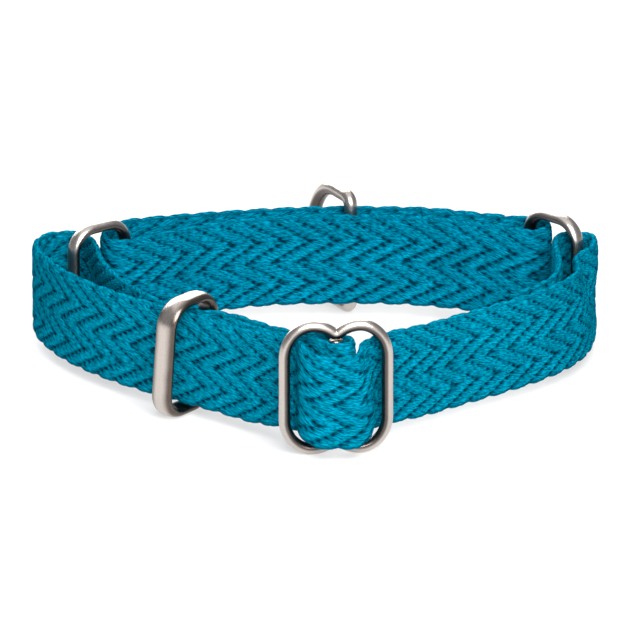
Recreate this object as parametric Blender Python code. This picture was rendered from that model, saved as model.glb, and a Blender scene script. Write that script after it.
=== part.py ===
"""Martingale collar: a webbing strap and a closed control loop joined by two end rings,
with a wire adjuster slide, a keeper ring round the doubled strap and a leash D-ring.

The collar stands on edge.  +X runs to the wearer's side, +Y away from the slide, +Z up.
Every length below is in millimetres and becomes metres where the mesh is made.
"""
import math

import bmesh
import bpy
import numpy as np
from mathutils import Vector

# ---- driving sizes -------------------------------------------------------------------
MM = 0.001
GAP = 0.3                   # running clearance between touching pieces
WEB_WIDTH = 25.4            # one-inch webbing
WEB_THICK = 2.3
PITCH = WEB_THICK + 1.5 * GAP   # centre to centre of two layers lying together
WEB_LIFT = 3.5              # main strap's lower edge above the floor
LOOP_LIFT = 4.1             # control loop's lower edge above the floor
WRAP_LIFT = 2.5             # extra lift of the sewn end where it wraps the slide's centre bar
LIFT_REACH = 26.0           # how far from the slide that extra lift dies out
THREADED_LIFT = 2.0         # extra lift of the front layer where it passes the slide frame
CREST_START = 6.5           # how far in front of the frame that extra lift begins
CREST_FULL = 1.8            # how far in front of and behind the frame it is full
THREADED_REACH = 16.0       # how far behind the frame it dies out
THREAD_THICK = 0.3
THREAD_WIDTH = 0.8
SEAM_GAP = THREAD_THICK + GAP   # extra room between layers where a thread lies between them
SEAM_HEIGHT = 17.0          # box seams
END_SEAM_LENGTH = 9.0
LAP_SEAM_LENGTH = 14.0

MIDDLE = (-0.55, 62.8)      # middle of the collar's plan, measured from the slide's end

RING_HEIGHT = 34.7          # end rings
RING_WIDTH = 20.0
RING_CORNER = 7.5           # outer corner radius
RING_AXIAL = 4.0            # flat-oval wire, wide way
RING_RADIAL = 2.9           # flat-oval wire, thin way
KEEPER_HEIGHT = 33.4        # the keeper is a lower, wider casting
KEEPER_AXIAL = 6.3
KEEPER_LEAN = math.radians(5.0)     # its head leans towards the slide

SLIDE_HEIGHT = 36.4
SLIDE_HALF = 14.8           # outer half width
SLIDE_WIRE = 3.0
SLIDE_SHOULDER = 8.4        # height of the outer shoulder curve
SLIDE_LOBE = 6.1            # centre of each lobe from the middle
SLIDE_LOBE_R = 8.2          # lobe radius on the side of the notch
SLIDE_NOTCH_R = 0.8         # wire's bend radius in the notch
SLIDE_YAW = math.radians(6.0)
BAR_WIRE = 2.8

DRING_WIRE = 3.7
DRING_HEIGHT = 34.8
DRING_LEG = 8.0             # straight leg between the bar and the round bow
DRING_BOW = 13.3            # how far the bow reaches past its legs
DRING_CORNER = 2.4
DRING_YAW = math.radians(118.5)

SLIDE_AT = (4.6, 3.7)
WRAP_AT = (5.4, 3.8)        # middle of the sewn end's turn round the centre bar
WRAP_R = 3.3
KEEPER_AT = (-34.6, 32.4)
KEEPER_YAW = math.radians(51.5)
LEFT_RING_AT = (-58.1, 84.95)
LEFT_RING_YAW = math.radians(38.0)
RIGHT_RING_AT = (62.8, 92.7)
RIGHT_RING_YAW = math.radians(136.7)
DRING_AT = (8.8, 108.9)

# ---- materials -----------------------------------------------------------------------
TEAL = (0.010, 0.235, 0.335, 1.0)
TEAL_LOOP = (0.010, 0.225, 0.325, 1.0)
THREAD = (0.008, 0.200, 0.290, 1.0)
NICKEL = (0.47, 0.43, 0.40, 1.0)
NICKEL_WARM = (0.48, 0.44, 0.41, 1.0)
WEB_ROUGH = 0.62
THREAD_ROUGH = 0.55
WIRE_ROUGH = 0.30
CAST_ROUGH = 0.28


def material(name, colour, roughness, metallic):
    """A Principled material with one colour."""
    mat = bpy.data.materials.new(name)
    mat.use_nodes = True
    shader = mat.node_tree.nodes["Principled BSDF"]
    shader.inputs["Base Color"].default_value = colour
    shader.inputs["Roughness"].default_value = roughness
    shader.inputs["Metallic"].default_value = metallic
    return mat


# ---- plan curves ---------------------------------------------------------------------
def smooth(points, step=0.25):
    """Centripetal Catmull-Rom curve through plan points, sampled about every step mm."""
    pts = [np.array(p, float) for p in points]
    pts = [2 * pts[0] - pts[1]] + pts + [2 * pts[-1] - pts[-2]]
    out = []
    for p0, p1, p2, p3 in zip(pts, pts[1:], pts[2:], pts[3:]):
        t0 = 0.0
        t1 = t0 + math.sqrt(np.linalg.norm(p1 - p0))
        t2 = t1 + math.sqrt(np.linalg.norm(p2 - p1))
        t3 = t2 + math.sqrt(np.linalg.norm(p3 - p2))
        count = max(2, int(np.linalg.norm(p2 - p1) / step))
        for t in np.linspace(t1, t2, count, endpoint=False):
            a1 = (t1 - t) / (t1 - t0) * p0 + (t - t0) / (t1 - t0) * p1
            a2 = (t2 - t) / (t2 - t1) * p1 + (t - t1) / (t2 - t1) * p2
            a3 = (t3 - t) / (t3 - t2) * p2 + (t - t2) / (t3 - t2) * p3
            b1 = (t2 - t) / (t2 - t0) * a1 + (t - t0) / (t2 - t0) * a2
            b2 = (t3 - t) / (t3 - t1) * a2 + (t - t1) / (t3 - t1) * a3
            out.append((t2 - t) / (t2 - t1) * b1 + (t - t1) / (t2 - t1) * b2)
    out.append(pts[-2])
    return np.array(out)


def arc(centre, radius, start, end, count):
    """Plan points on an arc, angles in degrees."""
    turn = np.radians(np.linspace(start, end, count))
    return [(centre[0] + radius * math.cos(a), centre[1] + radius * math.sin(a)) for a in turn]


def normals(path):
    """Unit left-hand normals of an open plan path."""
    tangent = np.gradient(path, axis=0)
    tangent /= np.linalg.norm(tangent, axis=1)[:, None]
    return np.stack([-tangent[:, 1], tangent[:, 0]], axis=1)


def beside(points, distance):
    """The way points of a layer lying a given distance to the left of another."""
    path = np.array(points, float)
    return [tuple(p) for p in path + normals(path) * distance]


def stations(path, longest=6.0, turn=math.radians(9.0)):
    """Indices that keep a path's shape: closer where it bends, wider where it runs straight."""
    heading = np.unwrap(np.arctan2(*np.gradient(path, axis=0).T[::-1]))
    kept = [0]
    run = 0.0
    bend = 0.0
    for i in range(1, len(path) - 1):
        run += np.linalg.norm(path[i] - path[i - 1])
        bend += abs(heading[i] - heading[i - 1])
        if run >= longest or bend >= turn:
            kept.append(i)
            run = 0.0
            bend = 0.0
    kept.append(len(path) - 1)
    return kept


def eased(t):
    """A smooth step from 0 to 1."""
    t = np.clip(t, 0.0, 1.0)
    return t * t * (3.0 - 2.0 * t)


def low_edge(path, base, inner_from):
    """Height of a strap's lower edge along its path; inner_from is where the sewn end begins."""
    x = path[:, 0] - SLIDE_AT[0]
    y = path[:, 1] - SLIDE_AT[1]
    behind = y * math.cos(SLIDE_YAW) - x * math.sin(SLIDE_YAW)
    rising = (behind + CREST_START) / (CREST_START - CREST_FULL)
    falling = 1.0 - (behind - CREST_FULL) / THREADED_REACH
    climb = THREADED_LIFT * eased(np.minimum(rising, falling))
    wrapped = WRAP_LIFT * eased(1.0 - np.hypot(x, y) / LIFT_REACH)
    climb[inner_from:] = wrapped[inner_from:]
    return base + climb


# ---- strap routes --------------------------------------------------------------------
# main strap, from the sewn tail inside the right end to the sewn end round the centre bar
RIGHT_OUT = [(73.9, 83.0), (73.4, 77.2), (71.2, 67.9), (68.0, 60.8), (63.4, 53.6), (57.6, 47.0),
             (52.2, 41.9), (46.9, 37.3), (41.6, 33.0), (36.3, 28.7), (31.0, 24.3), (25.4, 19.2),
             (18.9, 12.7), (14.8, 8.2)]
RIGHT_FOLD = arc((68.5, 88.6), 5.4, 180.0, 0.0, 7)
RIGHT_IN = [(50.3, 44.1), (55.9, 50.0), (60.4, 56.2), (62.8, 62.4), (63.6, 69.0), (63.6, 76.0),
            (63.3, 83.0)]
OVER_BAR = [(13.5, 4.6), (12.9, 1.2), (10.6, -1.6), (7.6, -2.6), (4.8, -2.75), (1.8, -2.7),
            (-1.2, -2.0), (-3.6, 0.0), (-4.4, 2.9)]
LEFT_OUT = [(-6.0, 6.1), (-10.6, 10.3), (-19.5, 18.6), (-27.4, 25.3), (-35.3, 31.5), (-43.2, 37.8),
            (-53.5, 47.0), (-61.5, 56.0), (-67.3, 64.3), (-71.5, 72.6), (-74.3, 80.5)]
LEFT_FOLD = [(-74.9, 86.5), (-72.6, 91.8), (-67.8, 94.3), (-63.0, 92.6), (-59.8, 87.2),
             (-58.5, 80.5), (-57.4, 73.0), (-54.5, 63.5), (-49.9, 53.4), (-45.4, 46.0)]
SEWN_SIDE = PITCH + SEAM_GAP        # sliding layer to the sewn end
DEEP_SIDE = SEWN_SIDE + PITCH + GAP     # sliding layer to the layer behind the sewn end
LEFT_IN = (beside(LEFT_OUT[::-1], PITCH + GAP)[5:7] + beside(LEFT_OUT[::-1], DEEP_SIDE)[7:10])
WRAP = arc(WRAP_AT, WRAP_R, 57.0, -128.0, 9)
SEWN_END = beside(LEFT_OUT, -SEWN_SIDE)[1:3] + [(-22.4, 25.6)]

# control loop, from the inner end of its lap to the outer end
LAP_INNER = [(28.0, 108.6), (35.0, 107.4), (42.0, 105.5), (49.0, 103.8)]
LOOP_RIGHT = arc((56.6, 97.9), 5.0, 100.0, -105.0, 7)
LOOP_IN = [(49.0, 95.6), (42.0, 98.5), (33.0, 102.0), (24.0, 104.5), (14.0, 105.4), (4.0, 105.4),
           (-10.0, 104.5), (-22.0, 101.7), (-34.0, 96.0), (-44.0, 89.6), (-49.6, 86.1)]
LOOP_LEFT = [(-54.2, 85.2), (-56.9, 89.2), (-56.4, 94.5), (-54.3, 98.9), (-50.0, 102.1)]
LAP_OUTER = [(-43.0, 104.3), (-32.0, 107.0), (-20.0, 109.5), (-8.0, 111.4), (3.0, 112.3), (12.0, 112.4),
             (20.0, 112.1), (28.0, 111.8), (35.4, 110.6), (42.7, 108.65), (50.0, 106.9)]

TO_LEFT_FOLD = RIGHT_IN + RIGHT_FOLD[1:-1] + RIGHT_OUT + OVER_BAR + LEFT_OUT + LEFT_FOLD
MAIN_ROUTE = smooth(TO_LEFT_FOLD + LEFT_IN + WRAP + SEWN_END)
MAIN_LOW = low_edge(MAIN_ROUTE, WEB_LIFT, len(smooth(TO_LEFT_FOLD)))
LOOP_ROUTE = smooth(LAP_INNER + LOOP_RIGHT + LOOP_IN + LOOP_LEFT + LAP_OUTER)
LOOP_LOW = low_edge(LOOP_ROUTE, LOOP_LIFT, len(LOOP_ROUTE))


# ---- solids --------------------------------------------------------------------------
def solid(name, rings, mat, at=(0.0, 0.0), closed=False, smooth_shade=False):
    """One closed body from a row of section rings, capped at both ends unless it closes."""
    middle = Vector((MIDDLE[0], MIDDLE[1], 0.0)) * MM
    origin = Vector((at[0], at[1], 0.0)) * MM - middle
    body = bmesh.new()
    rows = []
    for ring in rings:
        rows.append([body.verts.new(Vector(point) * MM - middle - origin) for point in ring])
    pairs = list(zip(rows, rows[1:]))
    if closed:
        pairs.append((rows[-1], rows[0]))
    for a, b in pairs:
        for i in range(len(a)):
            j = (i + 1) % len(a)
            body.faces.new((a[i], a[j], b[j], b[i]))
    if not closed:
        body.faces.new(rows[0][::-1])
        body.faces.new(rows[-1])
    bmesh.ops.recalc_face_normals(body, faces=body.faces)
    if body.calc_volume(signed=True) < 0.0:
        bmesh.ops.reverse_faces(body, faces=body.faces)
    mesh = bpy.data.meshes.new(name)
    body.to_mesh(mesh)
    body.free()
    mesh.materials.append(mat)
    for face in mesh.polygons:
        face.use_smooth = smooth_shade
    part = bpy.data.objects.new(name, mesh)
    part.location = origin
    bpy.context.collection.objects.link(part)
    return part


def strap(name, path, low_edges, mat):
    """Webbing on edge: a plain ribbon that follows a plan path."""
    side = normals(path) * WEB_THICK / 2
    rings = []
    for i in stations(path):
        (ax, ay), (bx, by) = path[i] + side[i], path[i] - side[i]
        low = low_edges[i]
        high = low + WEB_WIDTH
        rings.append([(ax, ay, low), (bx, by, low), (bx, by, high), (ax, ay, high)])
    return solid(name, rings, mat)


def wire(name, path, yaw, at, wide, thin, mat, around=12, origin=None, lean=0.0):
    """A closed wire shape standing in a plane that may lean back, with an oval section."""
    flat = np.array((math.cos(yaw), math.sin(yaw), 0.0))
    across = np.array((-math.sin(yaw), math.cos(yaw), 0.0))
    mid_height = max(up for along, up in path) / 2
    centres = []
    for along, up in path:
        back = (mid_height - up) * math.tan(lean)
        centres.append(np.array((at[0], at[1], up)) + flat * along + across * back)
    count = len(centres)
    rings = []
    for i, centre in enumerate(centres):
        tangent = centres[(i + 1) % count] - centres[i - 1]
        outward = np.cross(tangent / np.linalg.norm(tangent), across)
        ring = []
        for k in range(around):
            turn = 2.0 * math.pi * k / around
            ring.append(tuple(centre + across * wide / 2 * math.cos(turn)
                              + outward * thin / 2 * math.sin(turn)))
        rings.append(ring)
    return solid(name, rings, mat, at=origin or at, closed=True, smooth_shade=True)


def rounded_frame(width, height, corner, per_corner=7):
    """Centre line of a rounded rectangle standing on the floor of its wire."""
    out = []
    for sx, sz, start in ((1, 1, 0.0), (-1, 1, 90.0), (-1, -1, 180.0), (1, -1, 270.0)):
        cx = sx * (width / 2 - corner)
        cz = height / 2 + sz * (height / 2 - corner)
        for a in np.radians(np.linspace(start, start + 90.0, per_corner)):
            out.append((cx + corner * math.cos(a), cz + corner * math.sin(a)))
    return out


def ring(name, yaw, at, mat, origin, height=RING_HEIGHT, axial=RING_AXIAL, lean=0.0):
    """An end ring or keeper ring."""
    path = rounded_frame(RING_WIDTH - RING_RADIAL, height - RING_RADIAL, RING_CORNER - RING_RADIAL / 2)
    path = [(x, z + RING_RADIAL / 2) for x, z in path]
    return wire(name, path, yaw, at, axial, RING_RADIAL, mat, origin=origin, lean=lean)


def slide_outline():
    """Centre line of the slide frame: two lobes with a notch above and below the centre bar."""
    top = SLIDE_HEIGHT - SLIDE_WIRE / 2
    half = SLIDE_HALF - SLIDE_WIRE / 2
    lobe_z = top - SLIDE_LOBE_R
    notch_z = lobe_z + math.sqrt((SLIDE_LOBE_R + SLIDE_NOTCH_R) ** 2 - SLIDE_LOBE ** 2)
    lean = math.atan2(notch_z - lobe_z, SLIDE_LOBE)
    notch = [(SLIDE_NOTCH_R * math.cos(a), notch_z + SLIDE_NOTCH_R * math.sin(a))
             for a in np.linspace(1.5 * math.pi, 2.0 * math.pi - lean, 4, endpoint=False)]
    lobe = [(SLIDE_LOBE - SLIDE_LOBE_R * math.cos(a), lobe_z + SLIDE_LOBE_R * math.sin(a))
            for a in np.linspace(lean, math.pi / 2, 6, endpoint=False)]
    shoulder = [(SLIDE_LOBE + (half - SLIDE_LOBE) * math.cos(a),
                 top - SLIDE_SHOULDER + SLIDE_SHOULDER * math.sin(a))
                for a in np.linspace(math.pi / 2, 0.0, 8)]
    quarter = notch + lobe + shoulder
    lower = [(x, SLIDE_HEIGHT - z) for x, z in quarter[::-1]]
    right = quarter + lower
    left = [(-x, z) for x, z in right[::-1]]
    return right + left[1:-1]


def dring_outline():
    """Centre line of the D-ring from the foot of its bar round the bow; the bar is at along = 0."""
    low = DRING_WIRE / 2
    high = DRING_HEIGHT - low
    bow = (high - low) / 2
    turn = np.radians(np.linspace(0.0, 90.0, 5))
    foot = [(DRING_CORNER * (1 - math.sin(a)), low + DRING_CORNER * (1 - math.cos(a))) for a in turn]
    head = [(x, DRING_HEIGHT - z) for x, z in foot[::-1]]
    curve = [(DRING_LEG + DRING_BOW * math.sin(a), low + bow + bow * math.cos(a))
             for a in np.radians(np.linspace(0.0, 180.0, 19))]
    return foot[1:] + [(0.0, DRING_HEIGHT / 2)] + head[:-1] + curve


def seam(name, path, low_edges, centre, length, side, mat):
    """A box seam's thread lying on one face of a strap, side +1 on the left of its path."""
    run = np.concatenate([[0.0], np.cumsum(np.linalg.norm(np.diff(path, axis=0), axis=1))])
    here = run[int(np.argmin(np.linalg.norm(path - np.array(centre), axis=1)))]
    normal = normals(path)
    clear = side * (WEB_THICK / 2 + GAP)
    outline = []
    for corner_s, corner_z in ((-1, -1), (1, -1), (1, 1), (-1, 1)):
        outline.append((corner_s * length / 2, corner_z * SEAM_HEIGHT / 2))
    track = []
    for (s0, z0), (s1, z1) in zip(outline, outline[1:] + outline[:1]):
        for f in (0.0, 0.25, 0.5, 0.75):
            track.append((s0 + (s1 - s0) * f, z0 + (z1 - z0) * f))
    inset = THREAD_WIDTH / 2
    rings = []
    for s, z in track:
        ring_points = []
        for push, out in ((inset, 0.0), (inset, THREAD_THICK), (-inset, THREAD_THICK), (-inset, 0.0)):
            ss = here + s + push * np.sign(s) * (abs(s) > length / 2 - 0.01)
            zz = z + push * np.sign(z) * (abs(z) > SEAM_HEIGHT / 2 - 0.01)
            px = np.interp(ss, run, path[:, 0])
            py = np.interp(ss, run, path[:, 1])
            nx = np.interp(ss, run, normal[:, 0])
            ny = np.interp(ss, run, normal[:, 1])
            off = clear + side * out
            middle = np.interp(ss, run, low_edges) + WEB_WIDTH / 2
            ring_points.append((px + nx * off, py + ny * off, middle + zz))
        rings.append(ring_points)
    return solid(name, rings, mat, closed=True)


def bar(name, at, low, high, diameter, mat, around=16):
    """A plain upright round bar."""
    rings = []
    for z in (low, high):
        rings.append([(at[0] + diameter / 2 * math.cos(a), at[1] + diameter / 2 * math.sin(a), z)
                      for a in np.linspace(0.0, 2.0 * math.pi, around, endpoint=False)])
    return solid(name, rings, mat, at=at, smooth_shade=True)


def ring_end(at, yaw, sign):
    """Plan position of one upright of a ring."""
    reach = sign * (RING_WIDTH - RING_RADIAL) / 2
    return (at[0] + reach * math.cos(yaw), at[1] + reach * math.sin(yaw))


# ---- assembly ------------------------------------------------------------------------
for old in list(bpy.data.objects):
    bpy.data.objects.remove(old, do_unlink=True)

strap("main_strap", MAIN_ROUTE, MAIN_LOW, material("main_strap", TEAL, WEB_ROUGH, 0.0))
strap("control_loop_strap", LOOP_ROUTE, LOOP_LOW,
      material("control_loop_strap", TEAL_LOOP, WEB_ROUGH, 0.0))

SLIDE_PATH = slide_outline()
NOTCH_FACE = SLIDE_PATH[0][1] - SLIDE_WIRE / 2 - GAP     # where the centre bar ends under the notch
wire("slide_frame", SLIDE_PATH, SLIDE_YAW, SLIDE_AT, SLIDE_WIRE, SLIDE_WIRE,
     material("slide_frame", NICKEL, WIRE_ROUGH, 1.0))
bar("slide_centre_bar", SLIDE_AT, SLIDE_HEIGHT - NOTCH_FACE, NOTCH_FACE, BAR_WIRE,
    material("slide_centre_bar", NICKEL, WIRE_ROUGH, 1.0))
wire("leash_dring", dring_outline(), DRING_YAW, DRING_AT, DRING_WIRE, DRING_WIRE,
     material("leash_dring", NICKEL, WIRE_ROUGH, 1.0), origin=DRING_AT)

ring("keeper_ring", KEEPER_YAW, KEEPER_AT, material("keeper_ring", NICKEL_WARM, CAST_ROUGH, 1.0),
     KEEPER_AT, KEEPER_HEIGHT, KEEPER_AXIAL, KEEPER_LEAN)
ring("left_end_ring", LEFT_RING_YAW, LEFT_RING_AT, material("left_end_ring", NICKEL, CAST_ROUGH, 1.0),
     ring_end(LEFT_RING_AT, LEFT_RING_YAW, 1))
ring("right_end_ring", RIGHT_RING_YAW, RIGHT_RING_AT,
     material("right_end_ring", NICKEL, CAST_ROUGH, 1.0), ring_end(RIGHT_RING_AT, RIGHT_RING_YAW, 1))

# each box seam: its thread on the outer face, then its thread on the inner face
for name, route, low_edges, centre, length, side in (
        ("right_fold_needle_thread", MAIN_ROUTE, MAIN_LOW, (56.4, 45.9), END_SEAM_LENGTH, 1),
        ("right_fold_bobbin_thread", MAIN_ROUTE, MAIN_LOW, (54.1, 48.3), END_SEAM_LENGTH, 1),
        ("slide_end_needle_thread", MAIN_ROUTE, MAIN_LOW, (-16.5, 20.4), END_SEAM_LENGTH, 1),
        ("slide_end_bobbin_thread", MAIN_ROUTE, MAIN_LOW, (-13.5, 20.8), END_SEAM_LENGTH, 1),
        ("loop_lap_needle_thread", LOOP_ROUTE, LOOP_LOW, (39.3, 109.6), LAP_SEAM_LENGTH, 1),
        ("loop_lap_bobbin_thread", LOOP_ROUTE, LOOP_LOW, (38.6, 106.4), LAP_SEAM_LENGTH, -1)):
    seam(name, route, low_edges, centre, length, side, material(name, THREAD, THREAD_ROUGH, 0.0))
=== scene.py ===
"""Martingale collar standing on edge: herringbone webbing, satin nickel hardware and sewn seams,
on a pale floor under soft studio light."""
import math

import bpy
import numpy as np
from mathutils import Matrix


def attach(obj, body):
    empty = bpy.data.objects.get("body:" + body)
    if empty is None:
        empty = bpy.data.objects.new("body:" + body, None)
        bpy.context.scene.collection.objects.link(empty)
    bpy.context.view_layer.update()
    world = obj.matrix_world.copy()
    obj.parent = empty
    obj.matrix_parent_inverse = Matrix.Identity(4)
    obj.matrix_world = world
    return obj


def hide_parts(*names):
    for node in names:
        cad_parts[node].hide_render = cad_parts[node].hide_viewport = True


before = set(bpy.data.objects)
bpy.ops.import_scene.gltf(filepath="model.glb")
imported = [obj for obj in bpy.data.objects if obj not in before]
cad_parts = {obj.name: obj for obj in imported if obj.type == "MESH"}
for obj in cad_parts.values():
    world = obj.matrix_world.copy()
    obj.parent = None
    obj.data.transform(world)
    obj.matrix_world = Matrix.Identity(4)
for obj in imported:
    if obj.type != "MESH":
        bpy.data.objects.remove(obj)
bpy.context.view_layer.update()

MM = 0.001
TAU = 2.0 * math.pi

# ---- camera: long lens, 20 degrees above the floor -----------------------------------------
VIEW_ELEVATION = math.radians(20.0)
VIEW_DISTANCE = 2.1
VIEW_TARGET = (0.00055, 0.0426, 0.0)
VIEW_LENS = 441.0
VIEW_SENSOR = 36.0
VIEW_CLIP = (0.05, 30.0)

camera_data = bpy.data.cameras.new("view_camera")
camera_data.lens = VIEW_LENS
camera_data.sensor_width = VIEW_SENSOR
camera_data.clip_start, camera_data.clip_end = VIEW_CLIP
camera = bpy.data.objects.new("view_camera", camera_data)
camera.location = (VIEW_TARGET[0], VIEW_TARGET[1] - VIEW_DISTANCE * math.cos(VIEW_ELEVATION),
                   VIEW_DISTANCE * math.sin(VIEW_ELEVATION))
camera.rotation_euler = (math.pi / 2 - VIEW_ELEVATION, 0.0, 0.0)
bpy.context.collection.objects.link(camera)
bpy.context.scene.camera = camera
bpy.context.scene.view_settings.view_transform = "Standard"

# ---- sizes shared with the solid model, in millimetres -------------------------------------
GAP = 0.3
WEB_WIDTH = 25.4
WEB_THICK = 2.3
PITCH = WEB_THICK + 1.5 * GAP       # middle to middle of two layers that touch
WEB_LIFT = 3.5                      # the main strap's lower edge above the floor
LOOP_LIFT = 4.1                     # the control loop's lower edge above the floor
WRAP_LIFT = 2.5                     # extra height of the sewn end at the centre bar
LIFT_REACH = 26.0
THREADED_LIFT = 2.0                 # extra height of the front layer where it crosses the slide
CREST_START = 6.5
CREST_FULL = 1.8
THREADED_REACH = 16.0
THREAD_THICK = 0.3
SEAM_GAP = THREAD_THICK + GAP
SEAM_HEIGHT = 17.0
END_SEAM_LENGTH = 9.0
LAP_SEAM_LENGTH = 14.0
MIDDLE = np.array((-0.55, 62.8))    # the row frame's origin in the plan of the routes

RING_HEIGHT = 34.7
RING_WIDTH = 20.0
RING_CORNER = 7.5
RING_AXIAL = 4.0
RING_RADIAL = 2.9
KEEPER_HEIGHT = 33.4
KEEPER_AXIAL = 6.3
KEEPER_LEAN = math.radians(5.0)
SLIDE_HEIGHT = 36.4
SLIDE_HALF = 14.8
SLIDE_WIRE = 3.0
SLIDE_SHOULDER = 8.4
SLIDE_LOBE = 6.1
SLIDE_LOBE_R = 8.2
SLIDE_NOTCH_R = 0.8
SLIDE_YAW = math.radians(6.0)
BAR_WIRE = 2.8
DRING_WIRE = 3.7
DRING_HEIGHT = 34.8
DRING_LEG = 8.0
DRING_BOW = 13.3
DRING_CORNER = 2.4
DRING_YAW = math.radians(118.5)
SLIDE_AT = (4.6, 3.7)
WRAP_AT = (5.4, 3.8)
WRAP_R = 3.3
KEEPER_AT = (-34.6, 32.4)
KEEPER_YAW = math.radians(51.5)
LEFT_RING_AT = (-58.1, 84.95)
LEFT_RING_YAW = math.radians(38.0)
RIGHT_RING_AT = (62.8, 92.7)
RIGHT_RING_YAW = math.radians(136.7)
DRING_AT = (8.8, 108.9)


# ---- plan curves ---------------------------------------------------------------------------
def smooth(points, step=0.25):
    """Centripetal Catmull-Rom curve through plan points, sampled about every step mm."""
    pts = [np.array(p, float) for p in points]
    pts = [2 * pts[0] - pts[1]] + pts + [2 * pts[-1] - pts[-2]]
    out = []
    for p0, p1, p2, p3 in zip(pts, pts[1:], pts[2:], pts[3:]):
        t0 = 0.0
        t1 = t0 + math.sqrt(np.linalg.norm(p1 - p0))
        t2 = t1 + math.sqrt(np.linalg.norm(p2 - p1))
        t3 = t2 + math.sqrt(np.linalg.norm(p3 - p2))
        count = max(2, int(np.linalg.norm(p2 - p1) / step))
        for t in np.linspace(t1, t2, count, endpoint=False):
            a1 = (t1 - t) / (t1 - t0) * p0 + (t - t0) / (t1 - t0) * p1
            a2 = (t2 - t) / (t2 - t1) * p1 + (t - t1) / (t2 - t1) * p2
            a3 = (t3 - t) / (t3 - t2) * p2 + (t - t2) / (t3 - t2) * p3
            b1 = (t2 - t) / (t2 - t0) * a1 + (t - t0) / (t2 - t0) * a2
            b2 = (t3 - t) / (t3 - t1) * a2 + (t - t1) / (t3 - t1) * a3
            out.append((t2 - t) / (t2 - t1) * b1 + (t - t1) / (t2 - t1) * b2)
    out.append(pts[-2])
    return np.array(out)


def arc(centre, radius, start, end, count):
    """Plan points on an arc, angles in degrees."""
    turn = np.radians(np.linspace(start, end, count))
    return [(centre[0] + radius * math.cos(a), centre[1] + radius * math.sin(a)) for a in turn]


def normals(path):
    """Unit left-hand normals of an open plan path."""
    tangent = np.gradient(path, axis=0)
    tangent /= np.linalg.norm(tangent, axis=1)[:, None]
    return np.stack([-tangent[:, 1], tangent[:, 0]], axis=1)


def beside(points, distance):
    """The way points of a layer lying a given distance to the left of another."""
    path = np.array(points, float)
    return [tuple(p) for p in path + normals(path) * distance]


def eased(t):
    """A smooth step from 0 to 1."""
    t = np.clip(t, 0.0, 1.0)
    return t * t * (3.0 - 2.0 * t)


def low_edge(path, base, inner_from):
    """Height of a strap's lower edge along its path; inner_from is where the sewn end begins."""
    x = path[:, 0] - SLIDE_AT[0]
    y = path[:, 1] - SLIDE_AT[1]
    behind = y * math.cos(SLIDE_YAW) - x * math.sin(SLIDE_YAW)
    rising = (behind + CREST_START) / (CREST_START - CREST_FULL)
    falling = 1.0 - (behind - CREST_FULL) / THREADED_REACH
    climb = THREADED_LIFT * eased(np.minimum(rising, falling))
    wrapped = WRAP_LIFT * eased(1.0 - np.hypot(x, y) / LIFT_REACH)
    climb[inner_from:] = wrapped[inner_from:]
    return base + climb


# main strap, from the sewn tail inside the right end to the sewn end round the centre bar
RIGHT_OUT = [(73.9, 83.0), (73.4, 77.2), (71.2, 67.9), (68.0, 60.8), (63.4, 53.6), (57.6, 47.0),
             (52.2, 41.9), (46.9, 37.3), (41.6, 33.0), (36.3, 28.7), (31.0, 24.3), (25.4, 19.2),
             (18.9, 12.7), (14.8, 8.2)]
RIGHT_FOLD = arc((68.5, 88.6), 5.4, 180.0, 0.0, 7)
RIGHT_IN = [(50.3, 44.1), (55.9, 50.0), (60.4, 56.2), (62.8, 62.4), (63.6, 69.0), (63.6, 76.0),
            (63.3, 83.0)]
OVER_BAR = [(13.5, 4.6), (12.9, 1.2), (10.6, -1.6), (7.6, -2.6), (4.8, -2.75), (1.8, -2.7),
            (-1.2, -2.0), (-3.6, 0.0), (-4.4, 2.9)]
LEFT_OUT = [(-6.0, 6.1), (-10.6, 10.3), (-19.5, 18.6), (-27.4, 25.3), (-35.3, 31.5), (-43.2, 37.8),
            (-53.5, 47.0), (-61.5, 56.0), (-67.3, 64.3), (-71.5, 72.6), (-74.3, 80.5)]
LEFT_FOLD = [(-74.9, 86.5), (-72.6, 91.8), (-67.8, 94.3), (-63.0, 92.6), (-59.8, 87.2),
             (-58.5, 80.5), (-57.4, 73.0), (-54.5, 63.5), (-49.9, 53.4), (-45.4, 46.0)]
SEWN_SIDE = PITCH + SEAM_GAP            # sliding layer to the sewn end
DEEP_SIDE = SEWN_SIDE + PITCH + GAP     # sliding layer to the layer behind the sewn end
LEFT_IN = beside(LEFT_OUT[::-1], PITCH + GAP)[5:7] + beside(LEFT_OUT[::-1], DEEP_SIDE)[7:10]
WRAP = arc(WRAP_AT, WRAP_R, 57.0, -128.0, 9)
SEWN_END = beside(LEFT_OUT, -SEWN_SIDE)[1:3] + [(-22.4, 25.6)]

# control loop, from the inner end of its lap to the outer end
LAP_INNER = [(28.0, 108.6), (35.0, 107.4), (42.0, 105.5), (49.0, 103.8)]
LOOP_RIGHT = arc((56.6, 97.9), 5.0, 100.0, -105.0, 7)
LOOP_IN = [(49.0, 95.6), (42.0, 98.5), (33.0, 102.0), (24.0, 104.5), (14.0, 105.4), (4.0, 105.4),
           (-10.0, 104.5), (-22.0, 101.7), (-34.0, 96.0), (-44.0, 89.6), (-49.6, 86.1)]
LOOP_LEFT = [(-54.2, 85.2), (-56.9, 89.2), (-56.4, 94.5), (-54.3, 98.9), (-50.0, 102.1)]
LAP_OUTER = [(-43.0, 104.3), (-32.0, 107.0), (-20.0, 109.5), (-8.0, 111.4), (3.0, 112.3), (12.0, 112.4),
             (20.0, 112.1), (28.0, 111.8), (35.4, 110.6), (42.7, 108.65), (50.0, 106.9)]

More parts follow.
